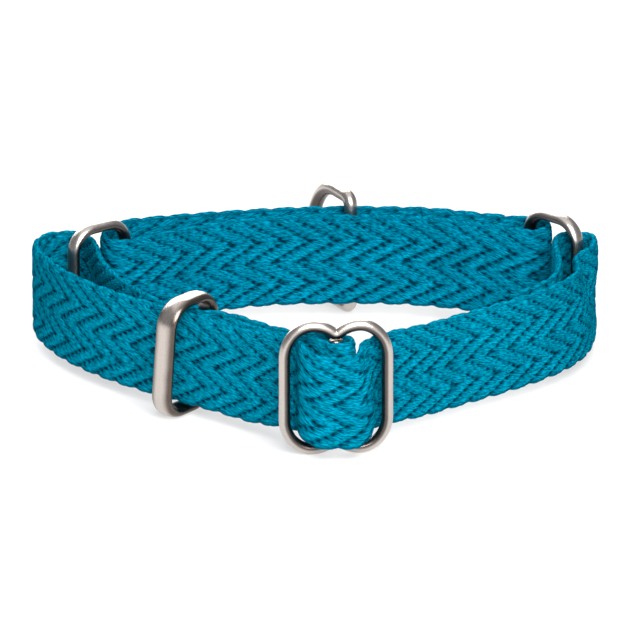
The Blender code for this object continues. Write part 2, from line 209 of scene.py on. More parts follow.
TO_LEFT_FOLD = RIGHT_IN + RIGHT_FOLD[1:-1] + RIGHT_OUT + OVER_BAR + LEFT_OUT + LEFT_FOLD
MAIN_ROUTE = smooth(TO_LEFT_FOLD + LEFT_IN + WRAP + SEWN_END)
MAIN_LOW = low_edge(MAIN_ROUTE, WEB_LIFT, len(smooth(TO_LEFT_FOLD)))
LOOP_ROUTE = smooth(LAP_INNER + LOOP_RIGHT + LOOP_IN + LOOP_LEFT + LAP_OUTER)

LAP_ASKEW = 0.5
LAP_ASKEW_REACH = 30.0


def askew_lap(path, lows):
    """The lap is sewn a little askew: its cut end sags and the layer under it rides up."""
    from_cut_end = np.hypot(path[:, 0] - path[-1, 0], path[:, 1] - path[-1, 1])
    outer_layer = np.arange(len(path)) > len(path) / 2
    return lows + np.where(outer_layer, -LAP_ASKEW, LAP_ASKEW) * eased(1.0 - from_cut_end / LAP_ASKEW_REACH)


LOOP_LOW = askew_lap(LOOP_ROUTE, low_edge(LOOP_ROUTE, LOOP_LIFT, len(LOOP_ROUTE)))


# ---- meshes --------------------------------------------------------------------------------
def to_row_frame(points):
    """Plan millimetres to metres in the row frame."""
    out = np.array(points, float)
    out[..., 0] -= MIDDLE[0]
    out[..., 1] -= MIDDLE[1]
    return out * MM


def mesh_object(name, points, quads, others=(), material=None):
    """A smooth-shaded object from vertices, quads and a few other polygons."""
    mesh = bpy.data.meshes.new(name)
    quads = np.asarray(quads, np.int32).reshape(-1, 4)
    loops = [quads.ravel()] + [np.asarray(face, np.int32) for face in others]
    sizes = np.concatenate([np.full(len(quads), 4), [len(face) for face in others]]).astype(np.int32)
    starts = np.concatenate([[0], np.cumsum(sizes)[:-1]]).astype(np.int32)
    corners = np.concatenate(loops).astype(np.int32)
    mesh.vertices.add(len(points))
    mesh.vertices.foreach_set("co", np.asarray(points, np.float32).ravel())
    mesh.loops.add(len(corners))
    mesh.loops.foreach_set("vertex_index", corners)
    mesh.polygons.add(len(sizes))
    mesh.polygons.foreach_set("loop_start", starts)
    mesh.polygons.foreach_set("loop_total", sizes)
    mesh.update(calc_edges=True)
    mesh.validate()
    mesh.polygons.foreach_set("use_smooth", np.ones(len(mesh.polygons), bool))
    if material:
        mesh.materials.append(material)
    obj = bpy.data.objects.new(name, mesh)
    bpy.context.collection.objects.link(obj)
    return obj


# ---- materials -----------------------------------------------------------------------------
def node_tree(name):
    """A new material with its node tree and its shader."""
    mat = bpy.data.materials.new(name)
    mat.use_nodes = True
    tree = mat.node_tree
    return mat, tree, tree.nodes["Principled BSDF"]


def add(tree, kind, **values):
    """A node with some inputs set by name."""
    made = tree.nodes.new(kind)
    for key, value in values.items():
        if hasattr(made, key):
            setattr(made, key, value)
        else:
            made.inputs[key.replace("_", " ")].default_value = value
    return made


def ramp(tree, source, stops):
    """A colour ramp over a value, from (position, colour) stops in rising order."""
    made = tree.nodes.new("ShaderNodeValToRGB")
    made.color_ramp.elements[0].position = stops[0][0]
    made.color_ramp.elements[0].color = stops[0][1]
    made.color_ramp.elements[1].position = stops[-1][0]
    made.color_ramp.elements[1].color = stops[-1][1]
    for position, colour in stops[1:-1]:
        extra = made.color_ramp.elements.new(position)
        extra.color = colour
    tree.links.new(source, made.inputs["Fac"])
    return made


def remap(tree, source, low, high, given=(0.0, 1.0)):
    """A value moved from the range given to the range from low to high."""
    made = add(tree, "ShaderNodeMapRange", From_Min=given[0], From_Max=given[1], To_Min=low, To_Max=high)
    tree.links.new(source, made.inputs["Value"])
    return made.outputs["Result"]


def bumped(tree, source, strength, distance, under=None):
    """The normal of a surface raised by a value, over another bump if one is given."""
    made = add(tree, "ShaderNodeBump", Strength=strength, Distance=distance)
    tree.links.new(source, made.inputs["Height"])
    if under:
        tree.links.new(under, made.inputs["Normal"])
    return made.outputs["Normal"]


FILAMENT_SLOPE = math.radians(14.0)
FILAMENT_SIZE = (1.7, 0.32, 1.0)    # one streak along and across the strap, mm
FILAMENT_SPAN = (0.40, 0.60)        # the part of the streaks' noise that is stretched to full contrast
# the streaks are the filaments' own grain, darkened by painted shade in the gaps between them and lightened
# on them
FILAMENT_SHADE = (0.42, 1.45)
FADE_SCALE = 0.11                   # patches where the dye is a little lighter, per mm
FADE_SPAN = (0.3, 0.7)
FADE_SHADE = (0.9, 1.08)
WEB_ROUGH = (0.75, 0.5)             # between the filaments and on them
FILAMENT_HIGH = 0.0004              # metres
THREAD_DARK = 0.7
THREAD_ROUGH = 0.5


def webbing_material(name, deep, body, bright):
    """Dyed nylon webbing with painted shade between the floats and the yarns and painted light on the ribs,
    filaments along every yarn, no gloss.
    """
    mat, tree, shader = node_tree(name)
    link = tree.links.new
    # the relief attribute holds painted shade and light; the ramp runs from a painted deep shade through the
    # dye colour to a painted highlight
    height = add(tree, "ShaderNodeAttribute", attribute_name="relief")
    place = add(tree, "ShaderNodeUVMap", uv_map="weave")
    half_deep = tuple(0.5 * (a + b) for a, b in zip(deep, body))
    colours = ramp(tree, height.outputs["Fac"], [(0.0, deep), (0.35, half_deep), (0.62, body), (1.0, bright)])
    stretch = add(tree, "ShaderNodeMapping", vector_type="TEXTURE")
    stretch.inputs["Rotation"].default_value = (0.0, 0.0, FILAMENT_SLOPE)
    stretch.inputs["Scale"].default_value = FILAMENT_SIZE
    link(place.outputs["UV"], stretch.inputs["Vector"])
    fibres = add(tree, "ShaderNodeTexNoise", Scale=1.0, Detail=3.0, Roughness=0.6)
    link(stretch.outputs["Vector"], fibres.inputs["Vector"])
    patches = add(tree, "ShaderNodeTexNoise", Scale=FADE_SCALE, Detail=2.0)
    link(place.outputs["UV"], patches.inputs["Vector"])
    # painted shade between the filaments and the dye's lighter patches both scale the colour
    both = add(tree, "ShaderNodeMath", operation="MULTIPLY")
    link(remap(tree, fibres.outputs["Fac"], *FILAMENT_SHADE, given=FILAMENT_SPAN), both.inputs[0])
    link(remap(tree, patches.outputs["Fac"], *FADE_SHADE, given=FADE_SPAN), both.inputs[1])
    shade = add(tree, "ShaderNodeVectorMath", operation="SCALE")
    link(colours.outputs["Color"], shade.inputs[0])
    link(both.outputs["Value"], shade.inputs["Scale"])
    link(shade.outputs["Vector"], shader.inputs["Base Color"])
    link(remap(tree, fibres.outputs["Fac"], *WEB_ROUGH), shader.inputs["Roughness"])
    link(bumped(tree, fibres.outputs["Fac"], 1.0, FILAMENT_HIGH), shader.inputs["Normal"])
    shader.inputs["Specular IOR Level"].default_value = 0.0
    return mat


def thread_material(name, body):
    """Twisted nylon sewing thread."""
    mat, tree, shader = node_tree(name)
    link = tree.links.new
    place = add(tree, "ShaderNodeUVMap", uv_map="weave")
    twist = add(tree, "ShaderNodeTexWave", Scale=1.2, Distortion=1.0, Detail=1.0)
    twist.bands_direction = "DIAGONAL"
    link(place.outputs["UV"], twist.inputs["Vector"])
    dark = tuple(THREAD_DARK * c for c in body[:3]) + (1.0,)
    colours = ramp(tree, twist.outputs["Fac"], [(0.0, dark), (1.0, body)])
    link(colours.outputs["Color"], shader.inputs["Base Color"])
    link(bumped(tree, twist.outputs["Fac"], 0.6, 0.0001), shader.inputs["Normal"])
    shader.inputs["Roughness"].default_value = THREAD_ROUGH
    shader.inputs["Specular IOR Level"].default_value = 0.0
    return mat


PAINTED_REFLECTION_DRIFT = 0.14                # how far the painted reflection's dark edge wanders either way
BRUSH_SCALE = (0.5, 7.0, 1.0)       # fine across the wire's length
BRUSH_ROUGH = (-0.09, 0.11)         # added to the plain roughness
BRUSH_HIGH = 0.00003                # metres
DENT_HIGH = 0.0002


def nickel_material(name, dark, light, roughness):
    """Satin nickel plate: painted reflection and shade set by the relief attribute, fine brushing, shallow
    dents.
    """
    mat, tree, shader = node_tree(name)
    link = tree.links.new
    place = add(tree, "ShaderNodeUVMap", uv_map="weave")
    # the relief attribute holds the wire's painted reflection and shade, from 0 (dark) to 1 (bright)
    painted_reflection = add(tree, "ShaderNodeAttribute", attribute_name="relief")
    drift = add(tree, "ShaderNodeTexNoise", Scale=0.16, Detail=3.0)
    link(place.outputs["UV"], drift.inputs["Vector"])
    painted_reflection_drifted = add(tree, "ShaderNodeMath", operation="ADD")
    link(painted_reflection.outputs["Fac"], painted_reflection_drifted.inputs[0])
    link(remap(tree, drift.outputs["Fac"], -PAINTED_REFLECTION_DRIFT, PAINTED_REFLECTION_DRIFT), painted_reflection_drifted.inputs[1])
    colours = ramp(tree, painted_reflection_drifted.outputs["Value"], [(0.1, dark), (0.9, light)])
    link(colours.outputs["Color"], shader.inputs["Base Color"])
    stretch = add(tree, "ShaderNodeMapping")
    stretch.inputs["Scale"].default_value = BRUSH_SCALE
    link(place.outputs["UV"], stretch.inputs["Vector"])
    brushing = add(tree, "ShaderNodeTexNoise", Scale=1.2, Detail=4.0, Roughness=0.65)
    link(stretch.outputs["Vector"], brushing.inputs["Vector"])
    smoother, rougher = BRUSH_ROUGH
    rough = remap(tree, brushing.outputs["Fac"], roughness + smoother, roughness + rougher)
    link(rough, shader.inputs["Roughness"])
    dents = add(tree, "ShaderNodeTexNoise", Scale=0.55, Detail=2.0)
    link(place.outputs["UV"], dents.inputs["Vector"])
    dented = bumped(tree, dents.outputs["Fac"], 0.25, DENT_HIGH)
    link(bumped(tree, brushing.outputs["Fac"], 0.10, BRUSH_HIGH, under=dented), shader.inputs["Normal"])
    shader.inputs["Metallic"].default_value = 1.0
    return mat


# ---- webbing -------------------------------------------------------------------------------
YARNS = 24                  # warp yarns across the face, in four herringbone bands
BAND = 6
ACROSS = 4                  # samples across each yarn
ALONG = 0.45                # sample length along the strap
REPEAT = 7.1                # one herringbone repeat along the strap, four picks
PICK = REPEAT / 4
FACE_OFFSET = 0.37          # the back face's pattern is this much of a repeat further on

RIB_HIGH = 0.42             # heights of the weave's relief, mm
YARN_DEEP = 0.07
FLOAT_DEEP = 0.46
RIB_EDGE = 0.07             # how steeply a rib rises from the crease under it, in ribs
RIB_FALL = 0.55             # how much of its height a rib has lost at its far side
RIB_ROLL = 0.86             # where a rib starts to roll down into the next crease
RIB_MIDDLE = 0.6            # the rib height that lies on the strap's mean face
FLAT_BAND = 0.45            # ribs of the rising bands against those of the falling bands
DOT_LONG = 0.080            # half length of the dip between two floats, in repeats
DOT_SHIFT = 0.10            # how far that dip lies off the crease, in repeats
DOT_RISING = 0.8            # dips of the rising bands against those of the falling bands
DOT_UNEVEN = 0.25
DOT_SIDE = 0.3              # share of a dip's depth at the sides of its yarn
WANDER = ((0.035, 0.37), (0.03, 1.7))       # the pattern's drift: (repeats, radians for each mm)
WANDER_ACROSS = 0.9         # radians for each sample across

TONE_BASE = 0.34            # painted shade and light of the weave, from 0 (deep painted shade) to 1 (painted highlight)
TONE_RIB = 0.58
TONE_RIB_MIDDLE = 0.66
TONE_FLOAT = 0.10
FLOAT_BRIGHT = 0.32         # where along its repeat a float's painted highlight is brightest
TONE_DOT = 0.78
TONE_YARN = 0.06
TONE_JOINT = 0.28
JOINT_PHASE = 2.2           # where along the repeat two bands' joint is darkest, radians
TONE_EDGE = 0.65
TONE_SCALLOP = 0.3

EDGE = 0.9                  # how far the rounded selvedge reaches past the outer yarns
EDGE_STEPS = 5
EDGE_ROUND = 0.9            # roundness of the selvedge against a half circle
EDGE_THIN = 0.25            # each face falls by this much at the selvedge
EDGE_RIM = 1.6              # width of that fall, in selvedges
FACE_INSET = 0.08
SCALLOP = 0.62              # height of the selvedge's bumps, and the share of the large ones in it
SCALLOP_LARGE = 0.7
SCALLOP_ROUND = 0.7
SCALLOP_MIDDLE = 0.6
SCALLOP_REACH = 3.0         # how far in from the edge the scallops pull the yarns
EDGE_FLAT = 2.0             # a selvedge's width in the flat coordinates
BACK_FACE_AT = 40.0         # the back face's place in the flat coordinates


def herringbone(k):
    """Pick shift of yarn k, counted from the lower edge: it climbs and falls in turn, band by band."""
    band = np.floor_divide(k, BAND)
    inside = k - band * BAND
    rising = band % 2 == 1
    return np.where(rising, inside, BAND - 1 - inside)


def face_relief(s, side):
    """Height, and painted shade and light, of one face at each station and each place across it."""
    column = np.arange(YARNS * ACROSS + 1)
    yarn = np.minimum(column // ACROSS, YARNS - 1)
    place = column / ACROSS - yarn
    crown = 1.0 - (2.0 * place - 1.0) ** 2
    hollow = (1.0 - crown)[None, :]
    offset = FACE_OFFSET * (side < 0)
    (slow, slow_rate), (quick, quick_rate) = WANDER
    wander = slow * np.sin(s * slow_rate + side) + quick * np.sin(s * quick_rate)
    wander = wander[:, None] * np.sin(column * WANDER_ACROSS)[None, :]
    phase = (s[:, None] - (herringbone(yarn) * PICK)[None, :]) / REPEAT + offset + wander
    band = yarn // BAND
    rising = (band % 2 == 1)[None, :]

    # ribs run along the diagonals, steep on the side of the crease under them
    line = np.clip(column / ACROSS - 0.5 - band * BAND, -0.5, BAND - 0.5)
    shift = np.where(rising[0], line, BAND - 1 - line) * PICK
    along = ((s[:, None] - shift[None, :]) / REPEAT + offset + wander) % 1.0
    up = np.where(rising, 1.0 - along, along)       # 0 at the crease under a rib, 1 at the next one
    rise = 1.0 - np.exp(-up / RIB_EDGE)
    roll = np.clip((up - RIB_ROLL) / (1.0 - RIB_ROLL), 0.0, 1.0) ** 2
    rib = rise * (1.0 - RIB_FALL * up ** 1.5) * (1.0 - roll)
    ribbing = np.where(rising, FLAT_BAND, 1.0)

    # a dip between two floats of each yarn, with painted shade in it, deeper on some yarns than on others
    from_dot = (phase + np.where(rising, -DOT_SHIFT, DOT_SHIFT) + 0.5) % 1.0 - 0.5
    uneven = 1.0 + DOT_UNEVEN * np.sin(3.1 * yarn[None, :] + 0.9 * s[:, None])
    dot = np.where(rising, DOT_RISING, 1.0) * uneven * np.exp(-(from_dot / DOT_LONG) ** 2)
    dot = dot * (DOT_SIDE + (1.0 - DOT_SIDE) * crown[None, :])

    # dark ticks where two bands meet
    inside = yarn % BAND
    first_side = (inside == 0) & (yarn > 0) & (column % ACROSS <= 1)
    last_side = (inside == BAND - 1) & (column % ACROSS == ACROSS - 1)
    joint = (first_side | last_side)[None, :] * np.clip(0.5 + np.sin(TAU * phase + JOINT_PHASE), 0.0, 1.0)

    relief = RIB_HIGH * ribbing * (rib - RIB_MIDDLE) - YARN_DEEP * hollow - FLOAT_DEEP * dot
    # painted shade in the creases, the dips and between the yarns, painted light on the ribs and along each
    # float
    tone = (TONE_BASE + TONE_RIB * (TONE_RIB_MIDDLE + (rib - TONE_RIB_MIDDLE) * ribbing)
            + TONE_FLOAT * np.cos(TAU * (phase - FLOAT_BRIGHT))
            - TONE_DOT * dot - TONE_YARN * hollow - TONE_JOINT * joint)
    return relief, np.clip(tone, 0.0, 1.0)


def scalloped(phase):
    """The selvedge's edge: one large and one small bump for each repeat."""
    large = np.abs(np.sin(math.pi * phase)) ** SCALLOP_ROUND
    small = np.abs(np.sin(TAU * phase + 0.5)) ** SCALLOP_ROUND
    return SCALLOP * (SCALLOP_LARGE * large + (1.0 - SCALLOP_LARGE) * small - SCALLOP_MIDDLE)


def webbing(name, route, lows, material, crease=None):
    """A closed woven ribbon on edge along a plan route. Each section runs up the left face, over
    the top selvedge, down the right face and round the lower selvedge."""
    steps = np.concatenate([[0.0], np.cumsum(np.linalg.norm(np.diff(route, axis=0), axis=1))])
    s = np.linspace(0.0, steps[-1], int(steps[-1] / ALONG) + 1)
    path = np.stack([np.interp(s, steps, route[:, 0]), np.interp(s, steps, route[:, 1])], axis=1)
    side = normals(path)
    low = np.interp(s, steps, lows)
    v = EDGE + (WEB_WIDTH - 2 * EDGE) * np.arange(YARNS * ACROSS + 1) / (YARNS * ACROSS)
    count = len(v)

    rim = np.clip(np.minimum(v, WEB_WIDTH - v) / EDGE - 1.0, 0.0, EDGE_RIM) / EDGE_RIM
    mean = WEB_THICK / 2 - FACE_INSET - EDGE_THIN * (1.0 - rim) ** 2
    left_relief, left_tone = face_relief(s, 1)
    right_relief, right_tone = face_relief(s, -1)
    left = mean[None, :] + left_relief
    right = -(mean[None, :] + right_relief)

    scallop_top = scalloped((s - herringbone(np.array(YARNS - 1)) * PICK) / REPEAT)[:, None]
    scallop_low = scalloped((s - herringbone(np.array(0)) * PICK) / REPEAT)[:, None]
    pull_top = np.clip((v - (WEB_WIDTH - SCALLOP_REACH)) / SCALLOP_REACH, 0.0, 1.0) ** 2
    pull_low = np.clip((SCALLOP_REACH - v) / SCALLOP_REACH, 0.0, 1.0) ** 2
    face_heights = v[None, :] + pull_top[None, :] * scallop_top - pull_low[None, :] * scallop_low

    along_edge = np.arange(1, EDGE_STEPS + 1) / (EDGE_STEPS + 1)
    leaving = 0.5 + 0.5 * np.cos(math.pi * along_edge)
    bulge = EDGE * EDGE_ROUND * np.sin(math.pi * along_edge)
    plain = np.full((1, EDGE_STEPS), TONE_EDGE)
    offsets = np.concatenate([left, left[:, -1:] * leaving + right[:, -1:] * (1.0 - leaving),
                              right[:, ::-1], right[:, :1] * leaving + left[:, :1] * (1.0 - leaving)], axis=1)
    heights = np.concatenate([face_heights, v[-1] + bulge + scallop_top,
                              face_heights[:, ::-1], v[0] - bulge - scallop_low], axis=1)
    # the selvedges: a plain tone with painted light on the scallops' bumps and painted shade between them
    painted_tones = np.concatenate([left_tone, plain + TONE_SCALLOP * scallop_top / SCALLOP,
                            right_tone[:, ::-1], plain + TONE_SCALLOP * scallop_low / SCALLOP], axis=1)
    if crease:
        offsets = offsets + crease(path, heights)
    around = offsets.shape[1]
    points = np.zeros((len(s), around, 3))
    points[:, :, 0] = path[:, 0:1] + side[:, 0:1] * offsets
    points[:, :, 1] = path[:, 1:2] + side[:, 1:2] * offsets
    points[:, :, 2] = low[:, None] + heights

    i = np.arange(len(s) - 1)[:, None] * around
    j = np.arange(around)[None, :]
    k = (j + 1) % around
    quads = np.stack([i + j, i + around + j, i + around + k, i + k], axis=2).reshape(-1, 4)
    last = (len(s) - 1) * around
    foot = around - EDGE_STEPS - 1      # the right face's lowest point
    cap = np.array([(f, f + 1, foot - f - 1, foot - f) for f in range(count - 1)])
    quads = np.concatenate([quads, cap, cap[:, ::-1] + last])
    rim_top = list(range(count - 1, count + EDGE_STEPS + 1))
    rim_low = list(range(foot, around)) + [0]
    others = [rim_top, rim_low, [x + last for x in rim_top[::-1]], [x + last for x in rim_low[::-1]]]
    obj = mesh_object(name, to_row_frame(points.reshape(-1, 3)), quads, others, material)
    set_painted_shading(obj, painted_tones)
    across_mm = np.concatenate([v, WEB_WIDTH + along_edge * EDGE_FLAT,
                                BACK_FACE_AT + v[::-1], BACK_FACE_AT - along_edge * EDGE_FLAT])
    set_uv(obj, np.stack([np.repeat(s, around), np.tile(across_mm, len(s))], axis=1))
    return obj


def set_painted_shading(obj, painted_tones):
    """Painted light and shade of a surface, read by its material."""
    layer = obj.data.attributes.new("relief", "FLOAT", "POINT")
    layer.data.foreach_set("value", np.asarray(painted_tones, np.float32).ravel())


def set_uv(obj, flat):
    """Millimetre coordinates on a surface from one pair for each vertex."""
    uv = obj.data.uv_layers.new(name="weave")
    corner = np.zeros(len(obj.data.loops), np.int32)
    obj.data.loops.foreach_get("vertex_index", corner)
    uv.data.foreach_set("uv", flat[corner].astype(np.float32).ravel())


# where the main strap bends out of its upright ribbon: places in the plan and heights in mm
PINCH_Y = 79.0              # the right fold's lower half bows in here
PINCH_REACH = 11.0
PINCH_FROM_X = 69.0
PINCH_IN = 1.5
PINCH_TOP = 20.0
PINCH_RISE = 9.0
HEM_KEEPS = 0.35            # the share of the pinch left at the lower edge, which rolls out again
HEM_HEIGHT = 5.5
LEAN_Y = 73.5               # the right fold's upper edge leans in here
LEAN_REACH = 8.5
LEAN_FROM_X = 64.6
LEAN_IN = 4.4
LEAN_FOOT = 8.0             # nothing below this height leans
LEAN_RISE = 16.0
CORNER_AT = (12.6, 1.0)     # the front layer's right corner in the slide leans in too
CORNER_REACH = 4.0
CORNER_IN = 2.0
CORNER_RISE = 17.0
CORNER_OFF_WRAP = 5.0       # the layer wrapped round the bar stays as it is


def main_strap_crease(path, heights):
    """How far each point of the main strap lies off its upright ribbon."""
    x, y = path[:, 0], path[:, 1]
    pinch = np.exp(-((y - PINCH_Y) / PINCH_REACH) ** 2) * (x > PINCH_FROM_X)
    hem = HEM_KEEPS + (1.0 - HEM_KEEPS) * np.clip(heights / HEM_HEIGHT, 0.0, 1.0)
    pinched = -PINCH_IN * pinch[:, None] * eased((PINCH_TOP - heights) / PINCH_RISE) * hem
    lean = np.exp(-((y - LEAN_Y) / LEAN_REACH) ** 2) * (x > LEAN_FROM_X)
    leaning = LEAN_IN * lean[:, None] * eased((heights - LEAN_FOOT) / LEAN_RISE)
    to_corner = np.hypot(x - CORNER_AT[0], y - CORNER_AT[1])
    off_wrap = np.hypot(x - WRAP_AT[0], y - WRAP_AT[1]) > CORNER_OFF_WRAP
    corner = np.exp(-(to_corner / CORNER_REACH) ** 2) * off_wrap
    return pinched - leaning - CORNER_IN * corner[:, None] * eased((heights - LEAN_FOOT) / CORNER_RISE)


# ---- stitches ------------------------------------------------------------------------------
STITCH_PITCH = 2.4
STITCH_LONG = 1.9
STITCH_WIDE = 0.34
STITCH_TIP = 0.45           # width of a stitch's ends against its middle
STITCH_SUNK = 0.20          # how far a stitch's ends lie under the webbing's face
STITCH_ROUND = 0.6          # thickness of a stitch against its width


def stitches(name, path, lows, centre, length, side, material, around=8, rows=9):
    """A box seam as seen on one face: a row of short stitches, each dipping into the webbing."""
    run = np.concatenate([[0.0], np.cumsum(np.linalg.norm(np.diff(path, axis=0), axis=1))])
    here = run[int(np.argmin(np.linalg.norm(path - np.array(centre), axis=1)))]
    normal = normals(path)
    half_s = length / 2
    half_z = SEAM_HEIGHT / 2
    sides = (((-half_s, -half_z), (half_s, -half_z)), ((half_s, -half_z), (half_s, half_z)),
             ((half_s, half_z), (-half_s, half_z)), ((-half_s, half_z), (-half_s, -half_z)))
    points = []
    quads = []
    others = []
    flat = []
    turn = TAU * np.arange(around) / around
    for (s0, z0), (s1, z1) in sides:
        reach = math.hypot(s1 - s0, z1 - z0)
        number = int(reach / STITCH_PITCH)
        lead = (reach - number * STITCH_PITCH) / 2
        along = np.array(((s1 - s0) / reach, (z1 - z0) / reach))
        for n in range(number):
            start = lead + n * STITCH_PITCH + (STITCH_PITCH - STITCH_LONG) / 2
            first = len(points)
            for r in range(rows):
                t = r / (rows - 1)
                swell = math.sin(math.pi * (0.08 + 0.84 * t))
                fat = STITCH_WIDE * (STITCH_TIP + (1.0 - STITCH_TIP) * swell)
                proud = WEB_THICK / 2 - STITCH_SUNK + STITCH_SUNK * math.sin(math.pi * t)
                place = np.array((s0, z0)) + along * (start + STITCH_LONG * t)
                for a in turn:
                    ss = here + place[0] - along[1] * fat * math.cos(a)
                    zz = place[1] + along[0] * fat * math.cos(a)
                    off = side * (proud + STITCH_ROUND * fat * math.sin(a))
                    x = np.interp(ss, run, path[:, 0]) + np.interp(ss, run, normal[:, 0]) * off
                    y = np.interp(ss, run, path[:, 1]) + np.interp(ss, run, normal[:, 1]) * off
                    z = np.interp(ss, run, lows) + WEB_WIDTH / 2 + zz
                    points.append((x, y, z))
                    flat.append((STITCH_LONG * t, a * STITCH_WIDE))
            for r in range(rows - 1):
                for k in range(around):
                    a = first + r * around + k
                    b = first + r * around + (k + 1) % around
                    quad = (a, b, b + around, a + around)
                    quads.append(quad if side > 0 else quad[::-1])
            foot = list(range(first, first + around))
            head = [x + (rows - 1) * around for x in foot]
            others += [foot[::-1], head] if side > 0 else [foot, head[::-1]]
    obj = mesh_object(name, to_row_frame(points), quads, others, material)
    set_uv(obj, np.array(flat))
    return obj


# ---- wires ---------------------------------------------------------------------------------
SMOOTHING = 2               # passes that ease a centre line's corners


def wire(name, path, yaw, at, wide, thin, material, tone, lean=0.0, around=32, reach=0.45):
    """A closed wire shape standing in a plane that may lean, with an oval section."""
    loop = np.array(path + path[:1], float)
    steps = np.concatenate([[0.0], np.cumsum(np.linalg.norm(np.diff(loop, axis=0), axis=1))])
    rows = int(steps[-1] / reach)
    s = np.linspace(0.0, steps[-1], rows, endpoint=False)
    line = np.stack([np.interp(s, steps, loop[:, 0]), np.interp(s, steps, loop[:, 1])], axis=1)
    for _ in range(SMOOTHING):
        line = 0.5 * line + 0.25 * (np.roll(line, 1, axis=0) + np.roll(line, -1, axis=0))
    tangent = np.roll(line, -1, axis=0) - np.roll(line, 1, axis=0)
    tangent /= np.linalg.norm(tangent, axis=1)[:, None]
    outward = np.stack([tangent[:, 1], -tangent[:, 0]], axis=1)
    flat_dir = np.array((math.cos(yaw), math.sin(yaw)))
    across = np.array((-math.sin(yaw), math.cos(yaw)))
    turn = TAU * np.arange(around) / around
    lie = line[:, None, :] + outward[:, None, :] * (thin / 2 * np.sin(turn))[None, :, None]
    mid_height = max(up for along, up in path) / 2
    proud = wide / 2 * np.cos(turn)[None, :] + ((mid_height - line[:, 1]) * math.tan(lean))[:, None]
    points = np.zeros((rows, around, 3))
    points[:, :, 0] = at[0] + lie[:, :, 0] * flat_dir[0] + proud * across[0]
    points[:, :, 1] = at[1] + lie[:, :, 0] * flat_dir[1] + proud * across[1]
    points[:, :, 2] = lie[:, :, 1]
    i = np.arange(rows)[:, None]
    n = (i + 1) % rows
    j = np.arange(around)[None, :]
    k = (j + 1) % around
    quads = np.stack([i * around + j, i * around + k, n * around + k, n * around + j], axis=2).reshape(-1, 4)
    obj = mesh_object(name, to_row_frame(points.reshape(-1, 3)), quads, (), material)
    set_painted_shading(obj, np.tile(tone(turn), rows))
    lay_uv(obj, np.repeat(s, around), np.tile(turn * (wide + thin) / 4, rows), steps[-1],
           TAU * (wide + thin) / 4)
    return obj


def painted_light_outer_half(turn):
    """A wire painted light on its outer half, with painted reflection and shade on its inner half. Turn is 0
    on one side of the section and 90 degrees inside the shape; the tone is 0 on the painted dark reflection
    and 1 on bright metal."""
    return 0.5 - 0.5 * np.clip((np.sin(turn) + 0.05) * 5.0, -1.0, 1.0)


def painted_light_crown(turn):
    """A casting painted light over its outer face, with painted reflection and shade inside."""
    return np.clip(-1.5 * np.sin(turn) + 0.1, 0.12, 1.0)


def painted_light_ridge(turn):
    """A flat casting painted light along the crown of its outer face only, with painted shade elsewhere."""
    return np.clip(-2.6 * np.sin(turn) - 1.6, 0.1, 1.0)


def lay_uv(obj, along, round_it, length, girth):
    """Millimetre coordinates along and round a closed wire, with no wrong-way faces at the joins."""
    uv = obj.data.uv_layers.new(name="weave")
    corner = np.zeros(len(obj.data.loops), np.int32)
    obj.data.loops.foreach_get("vertex_index", corner)
    flat = np.stack([along[corner], round_it[corner]], axis=1).reshape(-1, 4, 2)
    for axis, whole in ((0, length), (1, girth)):
        wrapped = (flat[:, :, axis].max(axis=1) - flat[:, :, axis].min(axis=1)) > whole / 2
        small = flat[:, :, axis] < whole / 2
        flat[:, :, axis] += whole * (wrapped[:, None] & small)
    uv.data.foreach_set("uv", flat.astype(np.float32).ravel())


def rounded_frame(width, height, corner, per_corner=24):
    """Centre line of a rounded rectangle standing on the floor of its wire."""
    out = []
    for sx, sz, start in ((1, 1, 0.0), (-1, 1, 90.0), (-1, -1, 180.0), (1, -1, 270.0)):
        cx = sx * (width / 2 - corner)
        cz = height / 2 + sz * (height / 2 - corner)
        for a in np.radians(np.linspace(start, start + 90.0, per_corner)):
            out.append((cx + corner * math.cos(a), cz + corner * math.sin(a)))
    return out


def ring(name, yaw, at, material, tone, height=RING_HEIGHT, axial=RING_AXIAL, lean=0.0):
    """An end ring or keeper ring."""
    path = rounded_frame(RING_WIDTH - RING_RADIAL, height - RING_RADIAL, RING_CORNER - RING_RADIAL / 2)
    path = [(x, z + RING_RADIAL / 2) for x, z in path]
    return wire(name, path[::-1], yaw, at, axial, RING_RADIAL, material, tone, lean)


def slide_outline():
    """Centre line of the slide frame: two lobes with a notch above and below the centre bar."""
    top = SLIDE_HEIGHT - SLIDE_WIRE / 2
    half = SLIDE_HALF - SLIDE_WIRE / 2
    lobe_z = top - SLIDE_LOBE_R
    notch_z = lobe_z + math.sqrt((SLIDE_LOBE_R + SLIDE_NOTCH_R) ** 2 - SLIDE_LOBE ** 2)
    lean = math.atan2(notch_z - lobe_z, SLIDE_LOBE)
    notch = [(SLIDE_NOTCH_R * math.cos(a), notch_z + SLIDE_NOTCH_R * math.sin(a))
             for a in np.linspace(1.5 * math.pi, 2.0 * math.pi - lean, 12, endpoint=False)]
    lobe = [(SLIDE_LOBE - SLIDE_LOBE_R * math.cos(a), lobe_z + SLIDE_LOBE_R * math.sin(a))
            for a in np.linspace(lean, math.pi / 2, 20, endpoint=False)]
    shoulder = [(SLIDE_LOBE + (half - SLIDE_LOBE) * math.cos(a),
                 top - SLIDE_SHOULDER + SLIDE_SHOULDER * math.sin(a))
                for a in np.linspace(math.pi / 2, 0.0, 32)]
    quarter = notch + lobe + shoulder
    lower = [(x, SLIDE_HEIGHT - z) for x, z in quarter[::-1]]
    right = quarter + lower
    left = [(-x, z) for x, z in right[::-1]]
    return right + left[1:-1]


